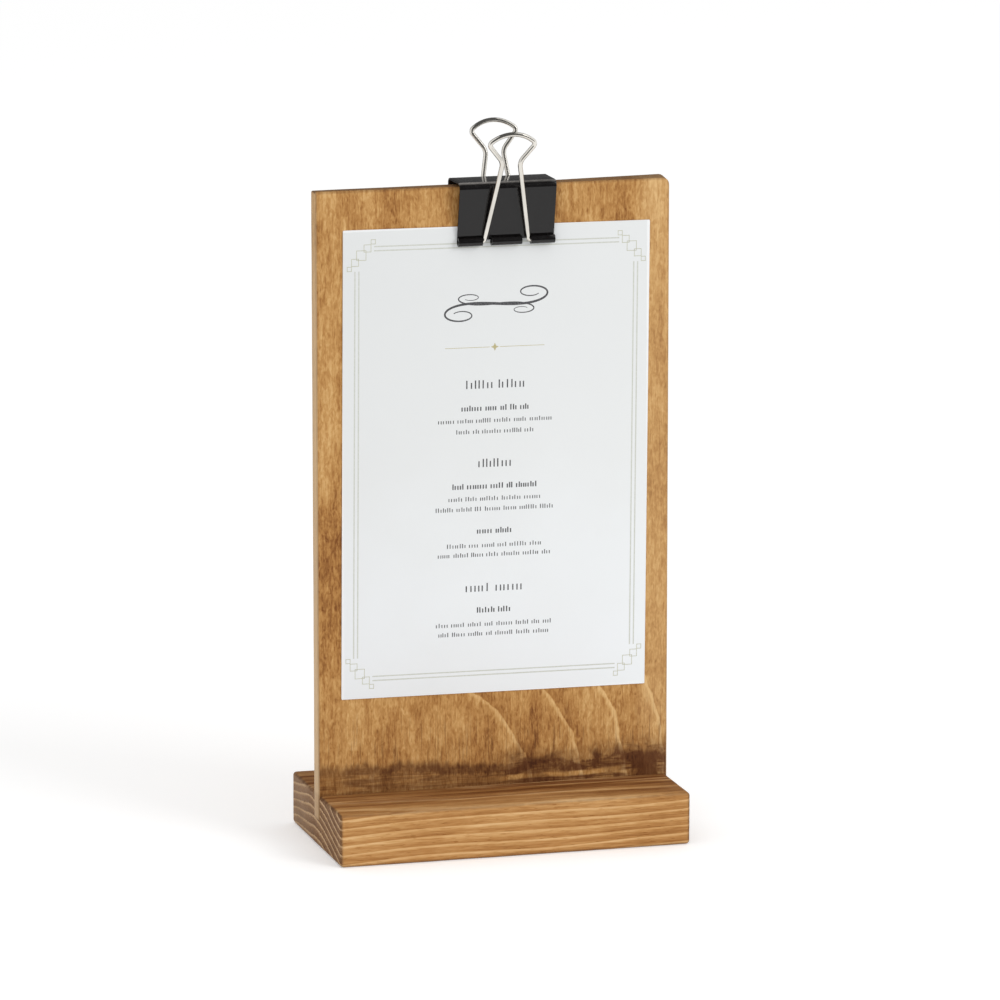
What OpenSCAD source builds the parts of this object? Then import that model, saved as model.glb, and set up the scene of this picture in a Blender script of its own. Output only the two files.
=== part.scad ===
// Table menu stand: an upright wooden board glued into a grooved base block, with a
// spring-steel binder clip that holds a printed card against the board.
// Millimetres. The floor is z = 0, the origin lies under the middle of the base block
// and the card faces -y.

/* [Base block] */
// Width of the base block
base_w = 116.6; // [80:0.1:200]
// Depth of the base block, front to back
base_d = 63.5; // [45:0.5:120]
// Height of the base block
base_h = 17.3; // [13:0.1:30]
// Radius of the base block's sanded edges
base_edge_r = 1.2; // [0.4:0.1:3]
// Depth of the groove that takes the board
groove_depth = 8; // [4:0.5:10]
// Middle of the groove behind the middle of the base block, negative towards the front
groove_offset = -1.45; // [-8:0.05:8]

/* [Board] */
// How far the board stands proud of each end of the base block
board_proud = 0.3; // [0:0.05:2]
// Height of the board's top edge above the floor
board_top = 213.6; // [205:0.1:320]
// Thickness of the board
board_t = 6; // [3:0.25:8]
// Radius of the board's two upper corners, seen from the front
board_corner_r = 1.4; // [0.6:0.1:8]
// Radius of the board's sanded long edges
board_edge_r = 0.5; // [0.2:0.1:1.2]
// Glue line between the board and each wall of the groove
glue_gap = 0.05; // [0.02:0.01:0.3]

/* [Card] */
// Width of the card
card_w = 101.6; // [50:0.1:180]
// Height of the card
card_h = 152.4; // [60:0.1:175]
// Thickness of the card
card_t = 0.35; // [0.2:0.05:1]
// How far the card's upper edge reaches above the middle of the clip's rolled lips
card_grip = 4.77; // [2.5:0.01:12]
// Card's middle to the right of the board's middle
card_shift = 0.5; // [-6:0.1:6]
// Clockwise turn of the card on the board, in degrees
card_turn = 0.45; // [-1.5:0.05:1.5]

/* [Clip] */
// Width of the clip along the board's top edge
clip_w = 32; // [27:0.5:40]
// Clip's middle to the right of the board's middle
clip_shift = 3.6; // [-30:0.1:30]
// Depth of the clip over its two folds
spine_d = 14.6; // [13:0.1:20]
// Height of the clip from its spine to the bottom of its rolled lips
clip_h = 20.7; // [18:0.1:26]
// Thickness of the spring steel
sheet_t = 0.6; // [0.4:0.05:0.8]
// Inner radius of the two folds beside the spine
fold_r = 1.2; // [0.6:0.1:2]
// Room between the spine and the board's top edge
spine_gap = 1; // [0.2:0.1:2]
// How far each rolled lip stands inside its plate, to bear on the card or the board
lip_bulge = 0.05; // [0.03:0.01:0.15]
// Width of the slit where each lip's roll ends short of its plate
lip_slit = 0.35; // [0.2:0.05:0.6]
// Width of each notch that a handle's leg passes through
notch_w = 3; // [2.6:0.1:4]
// How far each notch cuts into the plate, above the middle of its rolled lip
notch_up = 0.2; // [0.1:0.05:0.4]
// Depth of the relief for the leg in the plate, at the notch's upper edge
leg_relief = 0.2; // [0.1:0.05:0.3]
// How far that relief runs out above its rolled lip
relief_over = 0.4; // [0.2:0.1:1]
// Clearance between pieces that slide on each other: card, board and lips
slip = 0.05; // [0.03:0.01:0.2]

/* [Handles] */
// Diameter of the handles' wire
wire_d = 1.5; // [1.2:0.05:1.8]
// Radial clearance of the wire in the rolled lips
pivot_clear = 0.08; // [0.02:0.01:0.1]
// Length of a handle from its pivot to the outside of its arch
handle_len = 38; // [37:0.1:46]
// Width over the outside of a handle's loop
loop_w = 16; // [14:0.1:20]
// Distance from the pivot to the loop's widest place
tip_at = 33.7; // [32.5:0.1:34.5]
// Distance between the middles of the two wires at a handle's neck
neck_w = 6; // [5:0.1:7]
// Distance from the pivot to the narrowest place of the neck
neck_at = 26.4; // [24.5:0.1:27]
// Distance between the middles of the two legs at the pivot
leg_w = 14.6; // [13:0.1:16]
// Length of the feet that turn in the rolled lips, from the middle of each leg
foot_len = 5.5; // [3.5:0.1:6]
// Bend radius at the loop's two sides, to the middle of the wire
tip_r = 1.4; // [1:0.1:1.8]
// Bend radius at the neck, to the middle of the wire
neck_r = 4; // [2:0.1:5]
// Bend radius between a leg and its foot, to the middle of the wire
knee_r = 1.2; // [0.9:0.1:1.4]
// Straight run of wire between the loop's arch and its side bends
arch_run = 0.6; // [0.3:0.1:1]
// Lean of the front handle away from upright, in degrees
front_lean = 16.9; // [15:0.1:80]
// Lean of the rear handle away from upright, in degrees
rear_lean = 12.6; // [12.5:0.1:80]
// How far the front handle's arch is set to the right of its pivot's middle
front_set = -0.8; // [-1.5:0.1:1.5]
// How far the rear handle's arch is set to the right of its pivot's middle
rear_set = 0.6; // [-1.5:0.1:1.5]

/* [Hidden] */
$fn = 64;
// How far a cutter runs past the faces that it opens
past = 1;
// The wire loses this much of its radius where it is bent
bend_thin = 0.01;
// Straight runs of wire reach this far into the bends beside them
lap = 0.05;
// Flats that make up each fold of the clip
fold_steps = 12;
// Slope of the slit in each lip away from its plate, in degrees
slit_slope = 30;

// The board, as wide as the base block and a little proud of it, and the card that lies on it
board_w = base_w + 2 * board_proud;
board_front = groove_offset - board_t / 2;
board_foot = base_h - groove_depth;
card_mid = board_front - slip - card_t / 2;

// The clip straddles the board and the card, an equal slip from both
grip = card_t + slip + board_t;
clip_y = board_front + board_t - grip / 2;
bore_r = wire_d / 2 + pivot_clear;
lip_r = bore_r + sheet_t;
lip_y = grip / 2 + slip + lip_r;
spine_top = board_top + spine_gap + sheet_t;
lip_z = spine_top - clip_h + lip_r;

// Each plate of the clip runs on from its fold to the inside of its rolled lip
fold_out_r = fold_r + sheet_t;
fold_y = spine_d / 2 - fold_out_r;
fold_z = spine_top - fold_out_r;
fold_to_lip = [fold_y - lip_y, fold_z - lip_z];
plate_face = bore_r - lip_bulge;
plate_off = fold_out_r + plate_face;
plate_lean = atan2(fold_to_lip.x, fold_to_lip.y) + asin(plate_off / norm(fold_to_lip));
plate_len = sqrt(norm(fold_to_lip) ^ 2 - plate_off ^ 2);

// End view of the clip's steel: over the outside from front to rear, and back along the inside
clip_outline = concat(strip_line(fold_out_r), reversed(strip_line(fold_r)));

// Right half of a handle in its own plane: x across, y away from the pivot.
// Circles that the wire bends around
arch_top = handle_len - wire_d / 2;
tip_mid = [loop_w / 2 - wire_d / 2 - tip_r, tip_at];
neck_mid = [neck_w / 2 + neck_r, neck_at];
knee = [leg_w / 2, 0];
arch_rise = arch_top - tip_mid.y;
arch_r = (tip_mid.x ^ 2 + arch_rise ^ 2 - arch_run ^ 2 - tip_r ^ 2) / (2 * (arch_rise - tip_r));

// Slopes of the straight runs between those circles, in degrees
arch_slope = atan2(tip_mid.x, arch_r - arch_rise) - atan2(arch_run, arch_r - tip_r);
tip_to_neck = neck_mid - tip_mid;
flare_slope = asin((tip_r + neck_r) / norm(tip_to_neck)) - atan2(tip_to_neck.x, -tip_to_neck.y);
knee_to_neck = neck_mid - knee;
leg_slope = asin(neck_r / norm(knee_to_neck)) - atan2(knee_to_neck.x, knee_to_neck.y);

// Points where the straight runs meet
apex = [0, arch_top + arch_r * (1 / cos(arch_slope) - 1)];
tip = corner(tip_mid, tip_r, [sin(arch_slope), cos(arch_slope)], [cos(flare_slope), -sin(flare_slope)]);
neck = corner(neck_mid, neck_r, [-cos(flare_slope), sin(flare_slope)], [-cos(leg_slope), -sin(leg_slope)]);
foot_end = [knee.x + foot_len, 0];
handle_bends = [0, knee_r, neck_r, tip_r, arch_r, tip_r, neck_r, knee_r, 0];

// Each notch starts where the foot's bend has left it by half the pivot's clearance
knee_run = knee_r * tan((90 - leg_slope) / 2);
notch_x = knee.x + knee_run - sqrt(knee_r * pivot_clear) - notch_w / 2;

// End view of the notch about its lip's axis: through the plate below, and a relief that runs out above
notch_reach = lip_r + past;
relief_slope = leg_relief / (lip_r + relief_over - notch_up);
relief_end = lip_r + 2 * relief_over;
notch_outline = [
    [-notch_reach, -notch_reach],
    [notch_reach, -notch_reach],
    [notch_reach, notch_up],
    [plate_face + leg_relief, notch_up],
    [plate_face - relief_slope * relief_over, relief_end],
    [-notch_reach, relief_end]
];

// Points in the opposite order
function reversed(points) = [for (i = [len(points) - 1:-1:0]) points[i]];

// Point at radius r round the front fold of the clip, at an angle above the way to the front
function fold_point(r, angle) = [-fold_y - r * cos(angle), fold_z + r * sin(angle)];

// End view of one face of the clip's front half: the end of the plate, then the fold
function half_line(r) = concat(
    [fold_point(r, -plate_lean) + plate_len * [sin(plate_lean), -cos(plate_lean)]],
    [for (i = [0:fold_steps]) fold_point(r, (90 + plate_lean) * i / fold_steps - plate_lean)]
);

// End view of one face of the whole clip, from the front plate to the rear one
function strip_line(r) = concat(half_line(r), [for (p = reversed(half_line(r))) [-p.x, p.y]]);

// Corner of two lines that touch a circle where the unit vectors a and b point from its middle
function corner(mid, r, a, b) = mid + r * (a + b) / (1 + a * b);

// Unit vector from point p to point q
function heading(p, q) = (q - p) / norm(q - p);

// Angle by which a path turns at its point i
function turn(path, i) = acos(heading(path[i - 1], path[i]) * heading(path[i], path[i + 1]));

// Length that the bend at point i takes from each run beside it
function bend_run(path, bends, i) = bends[i] * tan(turn(path, i) / 2);

// A handle's path, with its arch set sideways and the legs following
function handle_path(set) = [
    for (p = concat([for (p = [foot_end, knee, neck, tip]) [-p.x, p.y]], [apex, tip, neck, knee, foot_end]))
        p + [set * p.y / handle_len, 0]
];

// Rectangle with four round corners, about the origin
module eased_outline(w, h, r) {
    square([w - 2 * r, h], center = true);
    square([w, h - 2 * r], center = true);
    for (x = [r - w / 2, w / 2 - r], y = [r - h / 2, h / 2 - r])
        translate([x, y])
            circle(r);
}

// Rectangle with two round upper corners, standing on the x axis
module topped_outline(w, h, r) {
    translate([-w / 2, 0])
        square([w, h - r]);
    translate([r - w / 2, 0])
        square([w - 2 * r, h]);
    for (x = [r - w / 2, w / 2 - r])
        translate([x, h - r])
            circle(r);
}

// Solid with a plan, a front outline and a side outline, given as three children
module from_outlines(w, d, h) {
    intersection() {
        linear_extrude(h)
            children(0);
        translate([0, d / 2, 0])
            rotate([90, 0, 0])
                linear_extrude(d)
                    children(1);
        translate([-w / 2, 0, 0])
            rotate([90, 0, 90])
                linear_extrude(w)
                    children(2);
    }
}

// Block of wood with a through-groove across its top for the board
module base_block() {
    groove_w = board_t + 2 * glue_gap;
    color("#b07d46")
        difference() {
            from_outlines(base_w, base_d, base_h) {
                eased_outline(base_w, base_d, base_edge_r);
                translate([0, base_h / 2])
                    eased_outline(base_w, base_h, base_edge_r);
                translate([0, base_h / 2])
                    eased_outline(base_d, base_h, base_edge_r);
            }
            translate([-base_w / 2 - past, groove_offset - groove_w / 2, board_foot])
                cube([base_w + 2 * past, groove_w, groove_depth + past]);
        }
}

// Upright board, square at its foot in the groove and eased at its free edges
module back_board() {
    board_h = board_top - board_foot;
    color("#c08a50")
        translate([0, groove_offset, board_foot])
            from_outlines(board_w, board_t, board_h) {
                eased_outline(board_w, board_t, board_edge_r);
                topped_outline(board_w, board_h, board_corner_r);
                topped_outline(board_t, board_h, board_edge_r);
            }
}

// Cutter for the notch in a rolled lip, about the lip's axis
module leg_notch() {
    rotate([90, 0, 90])
        linear_extrude(notch_w, center = true)
            polygon(notch_outline);
}

// Places what follows on the axis of the front lip, with z along its plate
module at_front_lip() {
    translate([0, -lip_y, lip_z])
        rotate([plate_lean, 0, 0])
            children();
}

// Rolled lip as a closed roll, without its bore
module lip_roll() {
    rotate([0, 90, 0])
        cylinder(r = lip_r, h = clip_w, center = true);
}

// Cutter for the inside of a rolled lip: the bore, the slit and the two notches
module lip_cutter() {
    rotate([0, 90, 0])
        cylinder(r = bore_r, h = clip_w + 2 * past, center = true);
    rotate([slit_slope, 0, 0])
        translate([-clip_w / 2 - past, -lip_slit / 2, 0])
            cube([clip_w + 2 * past, lip_slit, lip_r + past]);
    for (x = [-notch_x, notch_x])
        translate([x, 0, 0])
            leg_notch();
}

// One strip of spring steel folded over the board, with a rolled lip on each jaw
module clip_body() {
    color("#2b2a2b")
        translate([clip_shift, clip_y, 0])
            difference() {
                union() {
                    rotate([90, 0, 90])
                        linear_extrude(clip_w, center = true)
                            polygon(clip_outline);
                    for (side = [0, 1])
                        mirror([0, side, 0])
                            at_front_lip()
                                lip_roll();
                }
                for (side = [0, 1])
                    mirror([0, side, 0])
                        at_front_lip()
                            lip_cutter();
            }
}

// Straight wire between two points of a handle's plane, which stands on the x axis
module straight_wire(from, to) {
    run = to - from;
    translate([from.x, 0, from.y])
        rotate([0, atan2(run.x, run.y), 0])
            cylinder(d = wire_d, h = norm(run));
}

// Bend of the wire at point i of its path
module wire_bend(path, bends, i) {
    before = heading(path[i - 1], path[i]);
    after = heading(path[i], path[i + 1]);
    to_left = before.x * after.y - before.y * after.x > 0;
    mid = path[i] + (after - before) / norm(after - before) * bends[i] / cos(turn(path, i) / 2);
    first = to_left ? before : -after;
    translate([mid.x, 0, mid.y])
        rotate([90, 0, 0])
            rotate([0, 0, atan2(-first.x, first.y)])
                rotate_extrude(angle = turn(path, i))
                    translate([bends[i], 0])
                        circle(d = wire_d - 2 * bend_thin);
}

// Wire handle with its pivot on the x axis, standing upright
module wire_handle(set) {
    path = handle_path(set);
    last = len(path) - 1;
    for (i = [0:last - 1]) {
        along = heading(path[i], path[i + 1]);
        start_run = i == 0 ? 0 : bend_run(path, handle_bends, i) - lap;
        end_run = i + 1 == last ? 0 : bend_run(path, handle_bends, i + 1) - lap;
        straight_wire(path[i] + along * start_run, path[i + 1] - along * end_run);
    }
    for (i = [1:last - 1])
        wire_bend(path, handle_bends, i);
}

// Handle in the front lip, leaning towards the viewer
module front_handle() {
    color("#c9c9c7")
        translate([clip_shift, clip_y - lip_y, lip_z])
            rotate([front_lean, 0, 0])
                wire_handle(front_set);
}

// Handle in the rear lip, leaning away from the viewer
module rear_handle() {
    color("#c9c9c7")
        translate([clip_shift, clip_y + lip_y, lip_z])
            rotate([-rear_lean, 0, 0])
                wire_handle(rear_set);
}

// Printed card, flat on the board with its upper edge in the clip
module menu_card() {
    color("#e6e8e8")
        translate([card_shift, card_mid, lip_z + card_grip - card_h / 2])
            rotate([0, card_turn, 0])
                cube([card_w, card_t, card_h], center = true);
}

base_block();
back_board();
clip_body();
front_handle();
rear_handle();
menu_card();
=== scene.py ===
"""Looks of a table menu stand: a stained board in a grooved block, a binder clip and a printed card.

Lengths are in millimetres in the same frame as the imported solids, and turn into metres where a
mesh is made. The board's grain runs up, the block's grain runs from left to right.
"""
import logging
import math
import random
from contextlib import contextmanager
from dataclasses import dataclass
from enum import Enum
from typing import Callable, Iterator, Sequence, Union

import bmesh
import bpy
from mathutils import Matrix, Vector


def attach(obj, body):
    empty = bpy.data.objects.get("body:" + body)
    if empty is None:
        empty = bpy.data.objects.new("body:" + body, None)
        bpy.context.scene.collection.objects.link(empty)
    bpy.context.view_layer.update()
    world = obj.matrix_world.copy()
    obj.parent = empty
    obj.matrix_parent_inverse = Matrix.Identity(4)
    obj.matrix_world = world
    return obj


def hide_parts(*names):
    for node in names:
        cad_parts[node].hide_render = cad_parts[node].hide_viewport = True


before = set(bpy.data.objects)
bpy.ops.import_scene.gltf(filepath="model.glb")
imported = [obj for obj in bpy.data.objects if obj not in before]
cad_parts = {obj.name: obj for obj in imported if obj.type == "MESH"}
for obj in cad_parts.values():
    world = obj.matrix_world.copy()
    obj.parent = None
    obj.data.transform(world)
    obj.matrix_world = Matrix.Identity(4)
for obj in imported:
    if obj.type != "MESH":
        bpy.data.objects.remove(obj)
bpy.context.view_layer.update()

MM = 0.001
# How close counts as the same place and as touching, in millimetres.
NEAR, TOUCH = 0.01, 0.0005
# Least part of a direction along an axis, and greatest part of one across it.
ALONG, ACROSS = 0.9, 0.1
SHARP_DEGREES = 35.0
# Colour sockets of the mix node, which share their names with its other kinds of data.
MIX_FIRST, MIX_SECOND, MIX_RESULT = 6, 7, 2
log = logging.getLogger("menu_stand")

Point = tuple[float, float, float]
Colour = tuple[int, int, int]
Tones = Sequence[tuple[float, Colour]]
Material = bpy.types.Material
Node = bpy.types.Node
Socket = bpy.types.NodeSocket
Value = Union[float, Sequence[float], Socket]
Test = Callable[[Vector, Vector], bool]


class Element(Enum):
    """Kinds of mesh element that can be picked in edit mode."""

    VERT = "VERT"
    EDGE = "EDGE"
    FACE = "FACE"


class Body(Enum):
    """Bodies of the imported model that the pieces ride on."""

    STAND = "stand"
    CLIP = "clip"
    FRONT_HANDLE = "front_handle"
    REAR_HANDLE = "rear_handle"
    CARD = "card"


class Slot(Enum):
    """Material slots of the record."""

    BLOCK = "stained_block"
    BOARD = "stained_board"
    STEEL = "black_steel"
    WIRE = "nickel_wire"
    CARD = "card_stock"


def linear(colour: Colour) -> tuple[float, float, float, float]:
    """Turns a colour as seen on a screen into the linear one that shaders take.

    Args:
        colour: Red, green and blue from 0 to 255.

    Returns:
        Linear red, green, blue and alpha.
    """
    def channel(byte: float) -> float:
        """One channel, from the screen's curve to linear light."""
        share = byte / 255
        return share / 12.92 if share <= 0.04045 else ((share + 0.055) / 1.055) ** 2.4

    return (*(channel(byte) for byte in colour), 1.0)


class Graph:
    """Short ways to add and link the nodes of one shader tree."""

    def __init__(self, tree: bpy.types.NodeTree) -> None:
        """Starts on a tree, which may already hold nodes."""
        self.tree = tree

    def add(self, kind: str, *values: Value, **settings: object) -> Node:
        """Adds a node, sets its properties and fills its first inputs.

        Args:
            kind: The node's type without its ShaderNode prefix.
            *values: Numbers, vectors, colours or sockets for its inputs, in order.
            **settings: Properties to set on it.

        Returns:
            The new node.
        """
        node = self.tree.nodes.new("ShaderNode" + kind)
        for name, value in settings.items():
            setattr(node, name, value)
        for socket, value in zip(node.inputs, values):
            self.feed(socket, value)
        return node

    def feed(self, socket: Socket, value: Value) -> None:
        """Links a socket to another one, or sets its own value.

        Args:
            socket: The input to fill.
            value: A number, a vector, a colour or an output socket.
        """
        if isinstance(value, bpy.types.NodeSocket):
            self.tree.links.new(value, socket)
        else:
            socket.default_value = value

    def fill(self, node: Node, values: dict[str, Value]) -> None:
        """Feeds several of a node's inputs by name."""
        for label, value in values.items():
            self.feed(node.inputs[label], value)

    def math(self, operation: str, *values: Value, clamp: bool = False) -> Socket:
        """Does arithmetic on one to three values, held between 0 and 1 if clamped."""
        return self.add("Math", *values, operation=operation, use_clamp=clamp).outputs[0]

    def chain(self, operation: str, values: Sequence[Value]) -> Socket:
        """Joins two or more values one after the other.

        Args:
            operation: How each value joins what came before it.
            values: Numbers or sockets.

        Returns:
            The result's socket.
        """
        result = values[0]
        for value in values[1:]:
            result = self.math(operation, result, value)
        return result

    def total(self, *terms: Value) -> Socket:
        """Adds up several values."""
        return self.chain("ADD", terms)

    def times(self, *factors: Value) -> Socket:
        """Multiplies several values."""
        return self.chain("MULTIPLY", factors)

    def most(self, *values: Value) -> Socket:
        """Gives the highest of several values."""
        return self.chain("MAXIMUM", values)

    def less(self, value: Value, taken: Value) -> Socket:
        """Takes one value away from another."""
        return self.math("SUBTRACT", value, taken)

    def length(self, across: Socket, up: Socket) -> Socket:
        """Gives the distance of a place in a plane from the plane's origin."""
        return self.math("SQRT", self.math("MULTIPLY_ADD", across, across, self.times(up, up)))

    def weighted(self, *terms: tuple[Socket, float], base: float = 0.0) -> Socket:
        """Adds up values by weight.

        Args:
            *terms: Sockets with their weights.
            base: What is added to them.

        Returns:
            The sum's socket.
        """
        result: Value = base
        for socket, weight in terms:
            result = self.math("MULTIPLY_ADD", socket, weight, result)
        return result

    def scaled(self, value: Value, low: float, high: float) -> Socket:
        """Spreads a value that runs from 0 to 1 over the range from low to high."""
        return self.math("MULTIPLY_ADD", value, high - low, low)

    def ease(self, value: Value, start: float, end: float) -> Socket:
        """Rises smoothly from 0 where a value is at start to 1 at end, in either direction."""
        node = self.add("MapRange", value, start, end, 0.0, 1.0, interpolation_type="SMOOTHSTEP")
        return node.outputs[0]

    def vector(self, operation: str, *values: Value) -> Socket:
        """Does arithmetic on one or two vectors."""
        return self.add("VectorMath", *values, operation=operation).outputs[0]

    def position(self) -> Socket:
        """Gives the place on the piece in millimetres."""
        return self.vector("DIVIDE", self.add("TexCoord").outputs["Object"], (MM, MM, MM))

    def split(self, vector: Socket) -> tuple[Socket, Socket, Socket]:
        """Takes a vector apart into its three parts."""
        return tuple(self.add("SeparateXYZ", vector).outputs)

    def join(self, x: Value, y: Value, z: Value) -> Socket:
        """Makes a vector of three parts."""
        return self.add("CombineXYZ", x, y, z).outputs[0]

    def noise(self, vector: Socket, grain: Point, detail: float = 2.0, twist: float = 0.0) -> Socket:
        """Adds smooth noise with its own grain size along each axis.

        Args:
            vector: The place in millimetres.
            grain: The noise's size along x, y and z in millimetres.
            detail: How many finer layers it has.
            twist: How far the noise is stirred.

        Returns:
            The socket of a value about 0.5.
        """
        node = self.add("TexNoise")
        place = self.vector("DIVIDE", vector, grain)
        self.fill(node, {"Vector": place, "Scale": 1.0, "Detail": detail, "Distortion": twist})
        return node.outputs["Fac"]

    def cloud(
        self,
        vector: Socket,
        grain: Point,
        spread: tuple[float, float],
        detail: float,
        twist: float = 0.0,
    ) -> Socket:
        """Adds noise as above and stretches it, so that the spread's two values become 0 and 1."""
        return self.ease(self.noise(vector, grain, detail, twist), *spread)

    def ramp(self, value: Socket, stops: Tones) -> Socket:
        """Turns a value into a colour.

        Args:
            value: The value's socket.
            stops: Places along the ramp with their colours, in rising order.

        Returns:
            The colour's socket.
        """
        node = self.add("ValToRGB", value)
        points = node.color_ramp.elements
        while len(points) < len(stops):
            points.new(0.5)
        for point, (place, colour) in zip(points, stops):
            point.position = place
            point.color = linear(colour)
        return node.outputs[0]

    def mix(self, share: Value, first: Value, second: Value, blend: str = "MIX") -> Socket:
        """Mixes two colours.

        Args:
            share: How much of the second colour shows.
            first: The first colour.
            second: The second colour.
            blend: How they are mixed.

        Returns:
            The mixed colour's socket.
        """
        node = self.add("Mix", share, data_type="RGBA", blend_type=blend)
        self.feed(node.inputs[MIX_FIRST], first)
        self.feed(node.inputs[MIX_SECOND], second)
        return node.outputs[MIX_RESULT]

    def bump(self, height: Socket, depth: float, strength: float) -> Socket:
        """Bends the normal by a height.

        Args:
            height: The socket of a height from about 0 to 1.
            depth: What a height of 1 stands for, in millimetres.
            strength: How strongly the normal follows.

        Returns:
            The normal's socket.
        """
        node = self.add("Bump")
        self.fill(node, {"Strength": strength, "Distance": depth * MM, "Height": height})
        return node.outputs["Normal"]


class Effect:
    """Shader node groups that several materials share, each built once."""

    _made: dict[str, bpy.types.NodeTree] = {}

    @classmethod
    def _group(
        cls, name: str, inputs: Sequence[tuple[str, str]], outputs: Sequence[str]
    ) -> tuple[Graph, Node, Node]:
        """Starts a group with named sockets.

        Args:
            name: The group's name.
            inputs: Names and kinds of its inputs.
            outputs: Names of its outputs, all values.

        Returns:
            The group's graph, its input node and its output node.
        """
        tree = bpy.data.node_groups.new(name, "ShaderNodeTree")
        for label, kind in inputs:
            tree.interface.new_socket(label, in_out="INPUT", socket_type="NodeSocket" + kind)
        for label in outputs:
            tree.interface.new_socket(label, in_out="OUTPUT", socket_type="NodeSocketFloat")
        cls._made[name] = tree
        return Graph(tree), tree.nodes.new("NodeGroupInput"), tree.nodes.new("NodeGroupOutput")

    @classmethod
    def place(cls, graph: Graph, name: str, **values: Value) -> bpy.types.NodeOutputs:
        """Puts a shared group into a material.

        Args:
            graph: The material's graph.
            name: The group's name, which is also the method that builds it.
            **values: Values or sockets for the group's inputs.

        Returns:
            The group's outputs.
        """
        if name not in cls._made:
            getattr(cls, "_" + name)()
        node = graph.add("Group", node_tree=cls._made[name])
        graph.fill(node, values)
        return node.outputs

    @classmethod
    def _wood_figure(cls) -> None:
        """Grain of sawn wood that runs along z: rings, fibres, pores and blotches of stain."""
        labels = ("Late", "Fibre", "Pore", "Blotch", "Height")
        inputs = [("Vector", "Vector"), ("Ring", "Float"), ("Width", "Float")]
        graph, given, result = cls._group("wood_figure", inputs, labels)
        place, width = given.outputs["Vector"], given.outputs["Width"]
        broad = graph.cloud(place, (1.1, 1.1, 26.0), (0.3, 0.7), detail=3.0)
        fine = graph.cloud(place, (0.34, 0.34, 5.0), (0.28, 0.72), detail=3.0)
        fibre = graph.weighted((broad, 0.5), (fine, 0.5))
        pore = graph.cloud(place, (0.4, 0.4, 3.6), (0.64, 0.72), detail=1.0)
        drift = graph.cloud(place, (26.0, 26.0, 90.0), (0.32, 0.68), detail=2.0, twist=0.6)
        patch = graph.cloud(place, (9.0, 9.0, 26.0), (0.26, 0.74), detail=5.0, twist=0.9)
        blotch = graph.weighted((drift, 0.45), (patch, 0.55))
        frayed = graph.times(fibre, width, 0.3)
        turn = graph.math("FRACT", graph.total(frayed, given.outputs["Ring"]))
        left = graph.math("DIVIDE", graph.less(1.0, turn), width)
        risen = graph.weighted((turn, 0.45), (graph.ease(left, 1.0, 0.36), 0.55))
        late = graph.times(risen, graph.ease(left, 0.0, 0.21))
        height = graph.weighted((late, 0.4), (fibre, 0.6), (pore, -0.6))
        graph.fill(result, dict(zip(labels, (late, fibre, pore, blotch, height))))

    @classmethod
    def _edge_band(cls) -> None:
        """Band along the edges of a box-shaped piece, frayed by noise."""
        inputs = [("Vector", "Vector"), ("Half", "Vector"), ("Width", "Float")]
        graph, given, result = cls._group("edge_band", inputs, ("Edge",))
        place = given.outputs["Vector"]
        inward = graph.vector("ABSOLUTE", place)
        x, y, z = graph.split(graph.vector("SUBTRACT", given.outputs["Half"], inward))
        lesser, greater = graph.math("MINIMUM", x, y), graph.most(x, y)
        to_edge = graph.most(lesser, graph.math("MINIMUM", greater, z))
        frayed = graph.noise(place, (3.0, 3.0, 3.0), detail=3.0)
        reach = graph.times(given.outputs["Width"], graph.scaled(frayed, 0.3, 1.7))
        graph.fill(result, {"Edge": graph.ease(graph.math("DIVIDE", to_edge, reach), 1.0, 0.2)})

    @classmethod
    def _fine_mottle(cls) -> None:
        """Uneven gloss and a faint ripple, as on plate, enamel and paper."""
        inputs = [("Vector", "Vector"), ("Grain", "Vector")]
        graph, given, result = cls._group("fine_mottle", inputs, ("Gloss", "Height"))
        place = graph.vector("DIVIDE", given.outputs["Vector"], given.outputs["Grain"])
        gloss = graph.noise(place, (6.0, 6.0, 6.0), detail=3.0)
        graph.fill(result, {"Gloss": gloss, "Height": graph.noise(place, (1.0, 1.0, 1.0))})


@dataclass(frozen=True)
class Finish:
    """Base of all finishes: a named material with one glossy shader."""

    name: str

    def start(self) -> tuple[Material, Graph, Node]:
        """Makes an empty material.

        Returns:
            The material, its graph and its shader node.
        """
        material = bpy.data.materials.new(self.name)
        material.use_nodes = True
        return material, Graph(material.node_tree), material.node_tree.nodes["Principled BSDF"]

    def material(self) -> Material:
        """Builds the finish's material."""
        raise NotImplementedError


@dataclass(frozen=True)
class BoxFinish(Finish):
    """Finish of a box-shaped piece, which knows where the piece's edges are."""

    half: Point
    middle: Point

    def edge(self, graph: Graph, place: Socket, width: float) -> Socket:
        """Masks a frayed band along the edges."""
        centred = graph.vector("SUBTRACT", place, self.middle)
        return Effect.place(graph, "edge_band", Vector=centred, Half=self.half, Width=width)["Edge"]


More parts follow.
